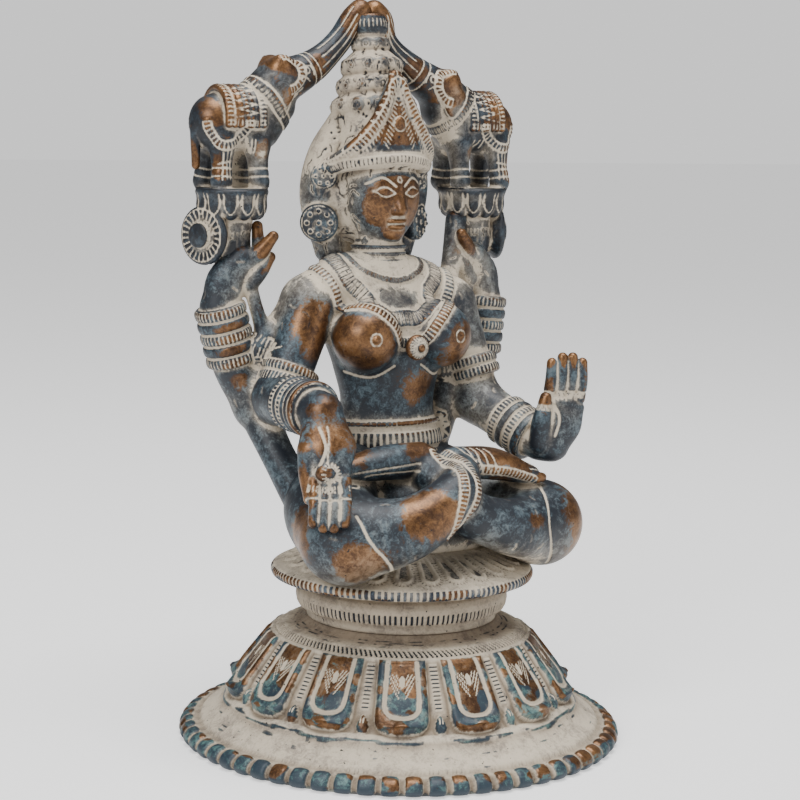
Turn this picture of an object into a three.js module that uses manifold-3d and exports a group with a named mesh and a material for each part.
// A small cast-brass figure of a seated four-armed goddess on a lotus plinth, with two elephants
// that raise their trunks over her crown. Millimetres, +Z up. The origin is on the surface that
// the plinth stands on, under its centre, and the goddess looks along -Y with her right hand at -X.
// The plinth is one casting. The seat, the goddess, the lotus flowers and the elephants are another.

import * as THREE from 'three';
import { SimplifyModifier } from 'three/addons/modifiers/SimplifyModifier.js';
import { mergeVertices } from 'three/addons/utils/BufferGeometryUtils.js';
import Module from 'manifold-3d';

const wasm = await Module();
wasm.setup();

// Flat faces of each finished casting
const plinthFaces = 2800;
const figureFaces = 7100;
const faceStep = 20;

// Plinth sizes
const flangeRadius = 64.4;
const rimBlockCount = 62;
const rimBlockDepth = 0.8;
const rimWidth = 6.2;
const rimHeight = 5.2;
const lotusFootRadius = 49.5;
const lotusFootHeight = 12;
const lotusTopRadius = 36;
const lotusTopHeight = 31;
const neckRadius = 27.6;
const neckHeight = 35.2;
const jointGap = 0.3;
const petalCount = 14;
const petalThickness = 2.3;
const petalLowWidth = 16;
const petalHighWidth = 11;
const budWidth = 3.6;
const firstPetalAngle = -122;

// Seat sizes
const ringRadius = 30.6;
const ringHeight = 6.4;
const ringNeckLength = 2.6;
const seatRadius = 38.2;
const seatRimThickness = 3.4;
const seatGapUnderRim = 2.4;
const seatDomeRise = 10.5;

// Depth of the groove between two bracelets of one cuff
const cuffGrooveDepth = 0.8;

// Height of the figure over the seat's upper edge, as built and in the units it is drawn in
const figureHeight = 162;
const drawnHeight = 162;
const unit = figureHeight / drawnHeight;

// The figure isn't quite even: her left back arm is held closer, and so is the elephant over it
const leftArmTuck = 5.5;
const leftElephantTuck = 2.4;
const leftStandTuck = 4.6;
const rightShoulderLift = 1.8;

const figureFloor = neckHeight + jointGap;
const ringBottom = figureFloor + ringNeckLength;
const seatRimBottom = ringBottom + ringHeight + seatGapUnderRim;
const seatTop = seatRimBottom + seatRimThickness;

const degrees = Math.PI / 180;

// A point of the drawn figure, measured from the middle of the seat's upper edge
function at(x, y, z) {
  return new THREE.Vector3(x * unit, y * unit, seatTop + z * unit);
}

// The same place on the figure's other side
function mirrored(point) {
  return new THREE.Vector3(-point.x, point.y, point.z);
}

function onSide(side, point) {
  return side > 0 ? point : mirrored(point);
}

function solid(geometry) {
  const bare = geometry.clone();
  for (const name of Object.keys(bare.attributes)) {
    if (name !== 'position') bare.deleteAttribute(name);
  }
  const merged = mergeVertices(bare, 1e-4);
  return new wasm.Manifold(new wasm.Mesh({
    numProp: 3,
    vertProperties: new Float32Array(merged.attributes.position.array),
    triVerts: new Uint32Array(merged.index.array),
  }));
}

function joined(parts) {
  return parts.reduce((whole, part) => whole.add(part));
}

// Whether each edge of a surface lies between exactly two faces
function isClosed(geometry) {
  const corners = geometry.attributes.position.count;
  const index = geometry.index.array;
  const faceCounts = new Map();
  for (let i = 0; i < index.length; i += 1) {
    const next = i % 3 === 2 ? i - 2 : i + 1;
    const low = Math.min(index[i], index[next]);
    const edge = low * corners + Math.max(index[i], index[next]);
    faceCounts.set(edge, (faceCounts.get(edge) ?? 0) + 1);
  }
  return faceCounts.size > 0 && [...faceCounts.values()].every((count) => count === 2);
}

// The finished surface, eased to its number of flat faces. Easing can pinch a thin gap shut along
// one edge, so the nearest number that leaves the surface closed is taken.
async function facetedGeometry(body, faces) {
  const mesh = body.getMesh();
  const geometry = new THREE.BufferGeometry();
  geometry.setAttribute('position', new THREE.BufferAttribute(new Float32Array(mesh.vertProperties), 3));
  geometry.setIndex(new THREE.BufferAttribute(new Uint32Array(mesh.triVerts), 1));
  const corners = geometry.attributes.position.count;
  let eased = geometry;
  let step = 0;
  do {
    const wanted = faces + (step % 2 ? -1 : 1) * Math.ceil(step / 2) * faceStep;
    const spare = Math.max(0, corners * (1 - wanted / body.numTri()));
    eased = await new SimplifyModifier().modify(geometry, spare);
    step += 1;
  } while (!isClosed(eased));
  eased.computeVertexNormals();
  return eased;
}

// A turned form: pairs of radius and height, from the axis back to the axis
function turned(profile, segments) {
  const points = profile.map(([radius, height]) => new THREE.Vector2(radius, height));
  const geometry = new THREE.LatheGeometry(points, segments);
  geometry.rotateX(Math.PI / 2);
  return geometry;
}

function ball(centre, radii, around = 10, rings = 7) {
  const geometry = new THREE.SphereGeometry(1, around, rings);
  geometry.rotateX(Math.PI / 2);
  geometry.scale(radii[0] * unit, radii[1] * unit, radii[2] * unit);
  geometry.translate(centre.x, centre.y, centre.z);
  return geometry;
}

// Reads a list of sizes as a smooth run, for a share between 0 and 1
function smoothly(sizes, share) {
  const place = Math.min(Math.max(share, 0), 1) * (sizes.length - 1);
  const index = Math.min(Math.floor(place), sizes.length - 2);
  const part = place - index;
  const before = sizes[Math.max(index - 1, 0)];
  const from = sizes[index];
  const to = sizes[index + 1];
  const after = sizes[Math.min(index + 2, sizes.length - 1)];
  const bend = 2 * before - 5 * from + 4 * to - after;
  const twist = 3 * (from - to) + after - before;
  return from + 0.5 * part * (to - before + part * (bend + part * twist));
}

// A closed rounded limb along a curve. Its half widths run along the limb: `wide` across it and
// `deep` towards the direction `facing`.
function limb(points, wide, deep = wide, options = {}) {
  const { sides = 10, steps = 5, capRings = 2, facing = new THREE.Vector3(0, -1, 0.001) } = options;
  const curve = new THREE.CatmullRomCurve3(points);
  const length = curve.getLength();
  const profile = [];
  const rows = [];
  const row = (share, reach, swell) => {
    profile.push(new THREE.Vector2(swell, profile.length));
    rows.push({ share, reach, swell });
  };
  for (let i = 0; i < capRings; i += 1) {
    const angle = (i / capRings) * Math.PI / 2;
    row(0, -Math.cos(angle), Math.sin(angle));
  }
  for (let i = 0; i <= steps; i += 1) row(i / steps, 0, 1);
  for (let i = capRings - 1; i >= 0; i -= 1) {
    const angle = (i / capRings) * Math.PI / 2;
    row(1, Math.cos(angle), Math.sin(angle));
  }
  const geometry = new THREE.LatheGeometry(profile, sides);
  const position = geometry.attributes.position;
  for (let i = 0; i < position.count; i += 1) {
    const { share, reach } = rows[Math.round(position.getY(i))];
    const halfWide = smoothly(wide, share) * unit;
    const halfDeep = smoothly(deep, share) * unit;
    const middle = curve.getPointAt(share);
    const along = curve.getTangentAt(share);
    const across = new THREE.Vector3().crossVectors(along, facing).normalize();
    const outward = new THREE.Vector3().crossVectors(across, along).normalize();
    const point = middle
      .addScaledVector(along, reach * Math.min(halfWide, halfDeep, length))
      .addScaledVector(across, position.getX(i) * halfWide)
      .addScaledVector(outward, position.getZ(i) * halfDeep);
    position.setXYZ(i, point.x, point.y, point.z);
  }
  return outwardFacing(geometry);
}

// Turns a closed geometry's faces outwards where its mapping has turned them in
function outwardFacing(geometry) {
  const bare = geometry.clone();
  bare.deleteAttribute('normal');
  bare.deleteAttribute('uv');
  const merged = mergeVertices(bare, 1e-4);
  const position = merged.attributes.position;
  const index = merged.index.array;
  const corner = [new THREE.Vector3(), new THREE.Vector3(), new THREE.Vector3()];
  let volume = 0;
  for (let i = 0; i < index.length; i += 3) {
    for (let j = 0; j < 3; j += 1) corner[j].fromBufferAttribute(position, index[i + j]);
    volume += corner[0].dot(corner[1].clone().cross(corner[2]));
  }
  if (volume < 0) {
    for (let i = 0; i < index.length; i += 3) {
      [index[i], index[i + 1]] = [index[i + 1], index[i]];
    }
  }
  return merged;
}

// A round band across a limb, such as a bracelet. Several ridges make a deep cuff.
function band(centre, direction, radius, width, ridges = 1, segments = 14) {
  const half = width * unit / 2;
  const reach = radius * unit;
  const profile = [[0, -half]];
  for (let i = 0; i < ridges; i += 1) {
    const low = -half + width * unit * i / ridges;
    const high = -half + width * unit * (i + 1) / ridges;
    if (i > 0) profile.push([reach - cuffGrooveDepth, low]);
    profile.push([reach, low + 0.25 * (high - low)], [reach, high - 0.25 * (high - low)]);
  }
  profile.push([0, half]);
  const geometry = turned(profile, segments);
  const turn = new THREE.Quaternion().setFromUnitVectors(
    new THREE.Vector3(0, 0, 1), direction.clone().normalize());
  geometry.applyQuaternion(turn);
  geometry.translate(centre.x, centre.y, centre.z);
  return geometry;
}

// The dome under the petals, as a radius for a share of its height, foot to top
const domeBulge = [1, 0.84, 0.52, 0.22, 0];

function domeRadius(share) {
  return lotusTopRadius + (lotusFootRadius - lotusTopRadius) * smoothly(domeBulge, share);
}

function domeHeight(share) {
  return lotusFootHeight + share * (lotusTopHeight - lotusFootHeight);
}

// The flange's edge is a ring of rounded blocks with a groove between each two
function rimBlocks() {
  const inner = flangeRadius - rimWidth;
  const profile = [
    [inner, 0], [flangeRadius - 0.5, 0], [flangeRadius, 0.4 * rimHeight],
    [flangeRadius - 0.35 * rimWidth, rimHeight], [inner, rimHeight], [inner, 0],
  ];
  const columnsPerBlock = 2;
  const geometry = turned(profile, rimBlockCount * columnsPerBlock);
  const column = 2 * Math.PI / (rimBlockCount * columnsPerBlock);
  const position = geometry.attributes.position;
  for (let i = 0; i < position.count; i += 1) {
    const x = position.getX(i);
    const y = position.getY(i);
    const z = position.getZ(i);
    const radius = Math.hypot(x, y);
    const turns = Math.round((Math.atan2(x, y) + 2 * Math.PI) / column);
    if (turns % columnsPerBlock !== 0 || z === 0 || radius < inner + 0.1) continue;
    const shrink = (radius - rimBlockDepth) / radius;
    const drop = z < rimHeight ? 0 : rimBlockDepth;
    position.setXYZ(i, x * shrink, y * shrink, z - drop);
  }
  return geometry;
}

function plinthBody() {
  const profile = [[0, 0], [flangeRadius - 2, 0], [flangeRadius - 2, 0.6 * rimHeight]];
  profile.push([flangeRadius - rimWidth, rimHeight + 0.4]);
  profile.push([lotusFootRadius + 1.8, lotusFootHeight - 1]);
  profile.push([lotusFootRadius, lotusFootHeight]);
  const domeSteps = 3;
  for (let i = 1; i <= domeSteps; i += 1) {
    const share = i / domeSteps;
    profile.push([domeRadius(share), domeHeight(share)]);
  }
  profile.push([lotusTopRadius - 2, lotusTopHeight + 1.5]);
  profile.push([neckRadius + 2.2, lotusTopHeight + 2.6]);
  profile.push([neckRadius, neckHeight - 0.3]);
  profile.push([neckRadius, neckHeight]);
  profile.push([0, neckHeight]);
  return turned(profile, petalCount * 3);
}

// A cushion on the dome: a flattened ball, squared across, laid on the slope
function cushion(middleAngle, low, high, lowWidth, highWidth, thickness, around, rings) {
  const geometry = new THREE.SphereGeometry(1, around, rings);
  const squared = (value) => Math.sign(value) * Math.abs(value) ** 0.7;
  const position = geometry.attributes.position;
  for (let i = 0; i < position.count; i += 1) {
    const share = low + (high - low) * (0.5 + 0.5 * squared(position.getY(i)));
    const width = lowWidth + (highWidth - lowWidth) * share;
    const radius = domeRadius(share) + position.getZ(i) * thickness * (1 - 0.35 * share);
    const height = domeHeight(share) + position.getZ(i) * thickness * 0.4 * share;
    const angle = middleAngle + 0.5 * width * squared(position.getX(i)) / domeRadius(share);
    position.setXYZ(i, radius * Math.cos(angle), radius * Math.sin(angle), height);
  }
  return outwardFacing(geometry);
}

function petal(angle) {
  const outer = cushion(angle, 0.03, 0.97, petalLowWidth, petalHighWidth, petalThickness, 8, 5);
  const leaf = cushion(angle, 0.3, 0.9, 0.56 * petalLowWidth, 0.56 * petalHighWidth, petalThickness + 0.7, 6, 4);
  return solid(outer).add(solid(leaf));
}

function bud(angle) {
  return solid(cushion(angle, 0.02, 0.24, budWidth, budWidth, 0.7 * petalThickness, 4, 3));
}

function lotusPlinth() {
  const parts = [solid(plinthBody()), solid(rimBlocks())];
  const pitch = 360 / petalCount;
  for (let i = 0; i < petalCount; i += 1) {
    parts.push(petal((firstPetalAngle + i * pitch) * degrees));
    parts.push(bud((firstPetalAngle + (i + 0.5) * pitch) * degrees));
  }
  return joined(parts);
}

function seat() {
  const profile = [[0, figureFloor], [neckRadius, figureFloor], [neckRadius, ringBottom - 0.6]];
  const ringSteps = 3;
  const ringBulge = ringRadius - neckRadius;
  for (let i = 0; i <= ringSteps; i += 1) {
    const share = i / ringSteps;
    const bulge = 0.3 + 0.8 * Math.sin(share * Math.PI);
    profile.push([neckRadius + ringBulge * bulge, ringBottom + share * ringHeight]);
  }
  profile.push([neckRadius + 0.5, seatRimBottom - 0.6]);
  profile.push([seatRadius - 1.6, seatRimBottom]);
  profile.push([seatRadius, seatRimBottom + 0.35 * seatRimThickness]);
  profile.push([seatRadius, seatRimBottom + 0.75 * seatRimThickness]);
  profile.push([seatRadius - 1.4, seatTop]);
  profile.push([0.62 * seatRadius, seatTop + 0.46 * seatDomeRise]);
  profile.push([0, seatTop + seatDomeRise]);
  return turned(profile, 36);
}

function torso() {
  const spine = [12, 26, 38, 49, 60, 70, 80].map((z) => at(0, 10 + 4 * Math.max(z - 55, 0) / 25, z));
  const parts = [limb(spine, [19, 19, 17, 14.6, 17, 20, 15], [13, 13, 12, 10.6, 12, 11.5, 8], {
    sides: 12, steps: 6,
  })];
  for (const side of [-1, 1]) {
    const lift = side < 0 ? rightShoulderLift : 0;
    const slope = [at(0, 16.6, 83), at(side * 12, 16.4, 79.4 + lift), at(side * 24, 15, 74.4 + lift)];
    parts.push(limb(slope, [8, 7.8, 7.6]));
    parts.push(ball(at(side * 12.4, 2.4, 66), [9.8, 9.4, 9.6], 9, 6));
  }
  parts.push(limb([at(0, 16, 80), at(0, 16.4, 97)], [7.4, 6.8], undefined, { sides: 8, steps: 1 }));
  return parts;
}

// The belt, the collar and the longer necklace with its pendant
function bodyOrnaments() {
  const belt = turned([[0, -0.5], [0.985, -0.5], [1, 0], [0.985, 0.5], [0, 0.5]], 16);
  belt.scale(19.4 * unit, 13.5 * unit, 6.4 * unit);
  const beltMiddle = at(0, 10, 37);
  belt.translate(0, beltMiddle.y, beltMiddle.z);
  const half = [at(-10, 23, 86), at(-14.6, 14, 84.6), at(-11, 5.6, 80.6)];
  const collar = [...half, at(0, -0.2, 75.5), ...half.map(mirrored).reverse()];
  const string = [at(-20, 14, 82), at(-17.5, 5, 77), at(-9, -3.6, 70.5)];
  const necklace = [...string, at(0, -4.8, 65), ...string.map(mirrored).reverse()];
  const cord = { sides: 4, steps: 8 };
  return [
    belt,
    limb(collar, [2, 2], [2, 2], cord),
    limb(necklace, [1.7, 1.7], [1.7, 1.7], cord),
    ball(at(0, -5, 64.4), [3.2, 2.2, 3.6], 6, 4),
  ];
}

// A calm, even face: the eyes are at half the head's height, and the brow, the foot of the nose
// and the chin part the face in thirds from the hairline down
function head() {
  const chin = 92.5;
  const hairline = 118;
  const third = (hairline - chin) / 3;
  const eyes = chin + 14.7;
  const noseFoot = chin + third;
  const brow = chin + 2 * third;
  const mouth = chin + third * 0.66;
  const parts = [
    ball(at(0, 17.5, 107.5), [11.8, 11.8, 14.5], 10, 7),
    ball(at(0, 13.2, 105.6), [10.3, 8.4, 12.8], 10, 7),
    ball(at(-0.4, 23, 108), [16, 9.4, 17.6], 12, 8),
    ball(at(0, 9.4, chin + 3.2), [3.6, 3.4, 2.8], 6, 4),
    limb([at(0, 6.6, brow - 1), at(0, 4.5, noseFoot + 1.2)], [0.9, 2], [1, 1.9], { sides: 4, steps: 1 }),
    ball(at(0, 6.6, mouth), [3.4, 1.7, 1.3], 6, 4),
  ];
  for (const side of [-1, 1]) {
    parts.push(ball(at(side * 4.6, 6.6, eyes), [2.9, 1.5, 1.3], 6, 4));
    const hair = [at(side * 8, 24, 126), at(side * 14, 23.6, 117), at(side * 16 - 0.5, 24, 105), at(side * 12 - 0.8, 23, 90)];
    parts.push(limb(hair, [5, 5.2, 4.8, 4.4], [5, 6, 5.4, 4], { steps: 5 }));
    const facing = new THREE.Vector3(side * 0.55, -0.83, 0);
    parts.push(band(at(side * 15.6 - 1, 20, 111.4), facing, 4, 5, 1, 10));
    parts.push(band(at(side * 16.2 - 1.8, 20, 98), facing, 5.6, 5, 1, 12));
  }
  return parts;
}

// The tall crown in round tiers, with the pot that the elephants pour over it
function crown() {
  const tiers = [[13, 113], [13.4, 119], [11.4, 129.6], [11.8, 133], [10, 135.4]];
  tiers.push([10.4, 138.6], [8.6, 140.8], [8.8, 144.4], [5.2, 147.6]);
  tiers.push([5.6, 150], [4.2, 151.8], [5.2, 155], [4.4, 158]);
  const profile = [[0, 113], ...tiers, [0, 158]];
  const geometry = turned(profile.map(([radius, height]) => [radius * unit, height * unit]), 12);
  const lean = 4.2 / 40;
  const position = geometry.attributes.position;
  for (let i = 0; i < position.count; i += 1) {
    const height = position.getZ(i);
    const back = 18.8 * unit + lean * (height - 114 * unit);
    position.setXYZ(i, position.getX(i), position.getY(i) + back, height + seatTop);
  }
  return geometry;
}

// The pointed front plate of the crown, bent round the head
function diadem() {
  const base = 116;
  const apex = 141.6;
  const geometry = new THREE.BoxGeometry(2, apex - base, 3, 10, 4, 1);
  const position = geometry.attributes.position;
  for (let i = 0; i < position.count; i += 1) {
    const across = position.getX(i);
    const share = position.getY(i) / (apex - base) + 0.5;
    const angle = across * smoothly([112, 66, 38, 19, 2.5], share) * degrees;
    const droop = -5 * Math.abs(across) ** 1.6 * (1 - share);
    const radius = (13 - 4 * share) * (position.getZ(i) > 0 ? 1.12 : 0.7);
    const height = base + share * (apex - base) + droop;
    const point = at(radius * Math.sin(angle), 18.8 - radius * Math.cos(angle), height);
    position.setXYZ(i, point.x, point.y, point.z);
  }
  return outwardFacing(geometry);
}

// A row of fingers from the knuckles. `across` runs along the row.
function fingers(middle, across, reach, count, spacing, radius) {
  const parts = [];
  for (let i = 0; i < count; i += 1) {
    const place = i - (count - 1) / 2;
    const knuckle = middle.clone().addScaledVector(across, place * spacing * unit);
    const tip = knuckle.clone().addScaledVector(reach, 1 - 0.1 * Math.abs(place));
    parts.push(limb([knuckle, tip], [radius, 0.9 * radius], undefined, { sides: 5, steps: 1 }));
  }
  return parts;
}

function offset(x, y, z) {
  return new THREE.Vector3(x * unit, y * unit, z * unit);
}

// The lowered right arm: the hand hangs over the knee, palm outwards
function givingArm() {
  const elbow = at(-36, 10.5, 49);
  const wrist = at(-38, -17, 48.5);
  const palmFacing = new THREE.Vector3(-0.45, -0.85, 0.2);
  const forward = new THREE.Vector3().subVectors(wrist, elbow);
  const upperArm = [at(-24.5, 13.5, 74), at(-30.6, 12, 60), elbow];
  const cuff = elbow.clone().lerp(wrist, 0.62).add(offset(-0.4, 0, 0.2));
  return [
    limb(upperArm, [7.6, 7, 7]),
    limb([elbow, at(-38, -4, 49), wrist], [7.2, 7, 5.8]),
    limb([at(-38.6, -19, 45), at(-40, -25.5, 33.5)], [6.4, 8, 5.6], [4.6, 4.8, 3.4], {
      facing: palmFacing, sides: 8, steps: 3,
    }),
    limb([at(-44.6, -20.5, 35), at(-46.4, -23.4, 26.5)], [2.8, 1.9], undefined, { sides: 5, steps: 1 }),
    ...fingers(at(-41, -26.6, 31.5), offset(0.84, -0.54, 0), offset(-2.6, -4.2, -12.6), 4, 2.8, 1.8),
    band(cuff, forward, 8, 14, 3, 10),
    band(at(-32.2, 11.6, 54.6), new THREE.Vector3(-0.42, -0.1, -1), 8.4, 6, 2, 9),
  ];
}

// The lowered left arm: the hand is raised with the palm outwards
function blessingArm() {
  const elbow = at(29.5, 6, 45.6);
  const wrist = at(36.6, -15.6, 35.4);
  const palmFacing = new THREE.Vector3(-0.25, -0.95, 0.1);
  const forward = new THREE.Vector3().subVectors(wrist, elbow);
  const cuff = elbow.clone().lerp(wrist, 0.66).add(offset(0.2, 0, -0.2));
  return [
    limb([at(24.5, 13.5, 73), at(27.6, 10.5, 60), elbow], [7.2, 6.8, 6.6]),
    limb([elbow, at(32.8, -6, 40.2), wrist], [7, 6.4, 5.4]),
    limb([at(38.6, -18.4, 34.6), at(41.4, -21, 47)], [5.6, 7.4, 6.4], [4.8, 4.2, 3], {
      facing: palmFacing, sides: 8, steps: 3,
    }),
    limb([at(33.8, -19, 37.4), at(35, -20.2, 49)], [3.4, 2.2], undefined, { sides: 5, steps: 1 }),
    ...fingers(at(41, -21.2, 48.5), offset(0.93, -0.34, 0), offset(0.2, -1.2, 13), 4, 3.1, 1.9),
    band(cuff, forward, 7.8, 12, 3, 10),
    band(at(28.8, 8.4, 55), new THREE.Vector3(0.18, -0.3, -1), 8.2, 6, 2, 9),
  ];
}

// A raised back arm with its deep cuff and the hand that holds a lotus stem
function backArm(side) {
  const tuck = side > 0 ? leftArmTuck : 0;
  const place = (x, y, z) => onSide(side, at(x - tuck * Math.min(z - 46, 30) / 30, y, z));
  const elbow = place(36.5, 22, 46);
  const cuffLow = place(43.6, 24, 58.5);
  const cuffHigh = place(48, 24, 74);
  const rise = new THREE.Vector3().subVectors(cuffHigh, cuffLow);
  const cuff = cuffLow.clone().lerp(cuffHigh, 0.5);
  const parts = [
    limb([place(24, 17, 75), place(31, 20, 60), elbow], [7, 6.6, 6.8]),
    limb([elbow, cuffLow, cuffHigh], [6.8, 6.2, 5.4]),
    limb([cuffHigh, place(46, 23, 82), place(42, 21.6, 87.5)], [5.4, 6, 4.6], [4.8, 5, 4.2]),
    limb([place(41, 21.4, 84), place(37.4, 19.2, 70), place(34, 19, 62)], [2.2, 2, 3], undefined, { sides: 5 }),
    limb([place(22, 17, 75), place(31, 18.6, 69), place(38, 19, 62)], [4.6, 4, 4], undefined, { sides: 5 }),
    band(cuff, rise, 7.6, 17.5, 4, 10),
    band(place(32, 20, 61), new THREE.Vector3(side * 0.42, 0.16, -1), 7.9, 6, 2, 9),
  ];
  const tips = [[35, 16.6, 94.4], [34.8, 18.6, 88.4]];
  for (const [x, y, z] of tips) {
    parts.push(limb([place(40.6, 20.4, z - 7.4), place(x, y, z)], [2.8, 2], undefined, { sides: 6, steps: 1 }));
  }
  return parts;
}

// The lotus flower beside a raised hand, and the upturned cup of petals under an elephant
function lotusStand(side) {
  const tuck = side > 0 ? leftStandTuck : 0;
  const scaled = ([radius, height]) => [radius * unit, height * unit];
  const stand = turned([[0, 0], [5.2, 0], [5.6, 9], [6.2, 13.4], [9.8, 18.4], [10.4, 21.4], [0, 21.4]].map(scaled), 14);
  const foot = onSide(side, at(43.6 - tuck, 25.6, 86.4));
  stand.translate(foot.x, foot.y, foot.z);
  const flower = turned([[0, -3], [6.6, -3], [8.5, -0.6], [7.4, 1.2], [4, 1], [3.4, 2.6], [0, 2.8]].map(scaled), 16);
  const facing = new THREE.Vector3(side * 0.945, -0.326, 0);
  flower.applyQuaternion(new THREE.Quaternion().setFromUnitVectors(new THREE.Vector3(0, 0, 1), facing));
  const middle = onSide(side, at(52.6 - 0.9 * tuck, 25.6, 94.4));
  flower.translate(middle.x, middle.y, middle.z);
  const stalkFoot = foot.clone().add(offset(0, 0, 6));
  const stalk = limb([stalkFoot, middle.clone().addScaledVector(facing, -2)], [5, 5], undefined, { steps: 1 });
  return [stand, flower, stalk];
}

// A cloth laid over the elephant's back, as a plate bent round the body
function caparison(side) {
  const geometry = new THREE.BoxGeometry(2, 2, 1, 8, 2, 1);
  const position = geometry.attributes.position;
  const tuck = side > 0 ? leftElephantTuck : 0;
  for (let i = 0; i < position.count; i += 1) {
    const angle = position.getX(i) * 98 * degrees;
    const grow = position.getZ(i) > 0 ? 1 : -2.6;
    const x = 42.4 - tuck + position.getY(i) * 5.4;
    const y = 27.2 + (7.8 + grow) * Math.sin(angle);
    const z = 127 + (8.9 + grow) * Math.cos(angle);
    const point = onSide(side, at(x, y, z));
    position.setXYZ(i, point.x, point.y, point.z);
  }
  return outwardFacing(geometry);
}

function elephant(side) {
  const tuck = side > 0 ? leftElephantTuck : 0;
  const place = (x, y, z) => onSide(side, at(x - tuck, y, z));
  const up = new THREE.Vector3(0, 0.01, 1);
  const body = [place(48.4, 27.4, 125.6), place(42.6, 27.2, 127), place(36, 26.8, 127.6)];
  const nod = side > 0 ? 2 : -0.6;
  const inner = side > 0 ? 34.6 : 37;
  const trunk = [
    place(26, 25.2, 138.4 - 0.4 * nod), place(16.8, 25.2, 143.4), place(9, 25.2, 150.4),
    onSide(side, at(4.8, 25, 156.6)), onSide(side, at(2.4, 25, 158.8)),
  ];
  const parts = [
    limb(body, [7.2, 7.8, 7.2], [8.4, 9, 8.4], { facing: up, sides: 9, steps: 3, capRings: 2 }),
    limb([place(36, 26.4, 131), place(29.4, 25.4, 138 - nod)], [6.6, 6.4], [7, 6.4], { facing: up, steps: 1 }),
    limb(trunk, [6, 4.9, 3.9, 3.6, 3.5], undefined, { sides: 8, steps: 6 }),
    limb([place(35, 26.6, 125), place(29.2, 26.4, 131.4)], [6.8, 5.8], [6.4, 5.4], { steps: 1 }),
    limb([place(54.4, 27.4, 125), place(54.2, 27.4, 114)], [1.6, 1.2], undefined, { sides: 4, steps: 1 }),
    caparison(side),
  ];
  for (const half of [-1, 1]) {
    parts.push(ball(place(30, 25.4 + half * 3, 140.8 - nod), [3.8, 3.4, 4.2], 8, 6));
    parts.push(ball(place(31, 25.8 + half * 5.6, 134.8 - nod), [4.2, 2.2, 5], 8, 6));
    for (const [x, footX] of [[48, 49], [inner, inner]]) {
      const hip = place(x, 27.2 + half * 3.8, 121);
      const foot = place(footX, 27.2 + half * 5.4, 109.6);
      parts.push(limb([hip, foot], [4.4, 3, 3.1], undefined, { sides: 6, steps: 2 }));
    }
  }
  return parts;
}

// The crossed legs, each foot lying sole up on the other thigh
function legs() {
  const up = new THREE.Vector3(0, 0.01, 1);
  const thick = { sides: 10, steps: 4, capRings: 2 };
  return [
    limb([at(-12, 9, 24), at(-27, -5, 19.2), at(-32.8, -20.6, 14)], [13, 13.8, 12.4], undefined, thick),
    limb([at(-31.6, -22, 13.4), at(-18, -32, 17.6), at(-3, -33, 26)], [11.8, 8.8, 6.4], undefined, thick),
    limb([at(12, 9, 22), at(24, -6, 16.2), at(34.6, -19.6, 12.4)], [13, 12.4, 12], undefined, thick),
    limb([at(34.4, -20.4, 12.4), at(18, -29, 14), at(5, -29, 18)], [11.6, 8.6, 6.6], undefined, thick),
    limb([at(-4, -32, 25.4), at(1, -28, 29), at(5, -20, 31)], [6, 5.4, 5]),
    limb([at(4, -20, 32.2), at(17, -20.4, 31), at(29.4, -20.6, 27)], [5, 5.8, 4.4], [4.6, 4.6, 3], {
      facing: up, sides: 8,
    }),
    limb([at(4, -27, 20), at(-3, -22, 28), at(-6, -16.6, 32)], [6, 5.6, 5.4]),
    limb([at(-5.6, -16.4, 33), at(-18, -16, 33), at(-30, -14, 31)], [5.4, 5.6, 4], [5.2, 4.8, 3.4], {
      facing: up, sides: 8,
    }),
    ball(at(0, -8, 22), [17, 15, 10.5], 8, 5),
    ball(at(0, -1, 9), [27, 19, 9.6], 12, 7),
    band(at(0.5, -31.4, 27.4), new THREE.Vector3(0.5, 0.35, 0.5), 7.4, 3, 1, 8),
  ];
}

// Plain props left by the founder between the elbows and the hips, and the hair down the back
function props() {
  return [
    limb([at(-37.5, 20, 44), at(-35.4, 11, 32), at(-33, 1, 21)], [5.6, 5, 5.6], [5, 4.4, 5.6]),
    limb([at(23, 12, 54), at(20.8, 12, 42), at(16, 9, 28)], [5.4, 4.6, 3]),
    limb([at(32, 23.4, 98), at(28.6, 20, 88), at(25.4, 17.4, 79)], [3.2, 3, 2.8]),
    limb([at(0, 27, 104), at(0, 28, 92), at(0, 25.4, 78)], [6.4, 6, 5], [4, 4, 3.4]),
  ];
}

function figure() {
  const forms = [
    ...torso(), ...bodyOrnaments(), ...head(), crown(), diadem(),
    ...legs(), ...givingArm(), ...blessingArm(), ...props(),
  ];
  for (const side of [-1, 1]) forms.push(...backArm(side), ...lotusStand(side), ...elephant(side));
  return joined([solid(seat()), ...forms.map(solid)]);
}

// Worn brass under a blue-grey and off-white patina
const plinthFinish = new THREE.MeshStandardMaterial({ color: 0xb5a895, roughness: 0.6, metalness: 0.35 });
const figureFinish = new THREE.MeshStandardMaterial({ color: 0x7d7263, roughness: 0.5, metalness: 0.45 });

async function named(name, body, faces, material) {
  const mesh = new THREE.Mesh(await facetedGeometry(body, faces), material);
  mesh.name = name;
  return mesh;
}

const lakshmi = new THREE.Group();
lakshmi.add(await named('lotus_plinth', lotusPlinth(), plinthFaces, plinthFinish));
lakshmi.add(await named('figure', figure(), figureFaces, figureFinish));

export default lakshmi;
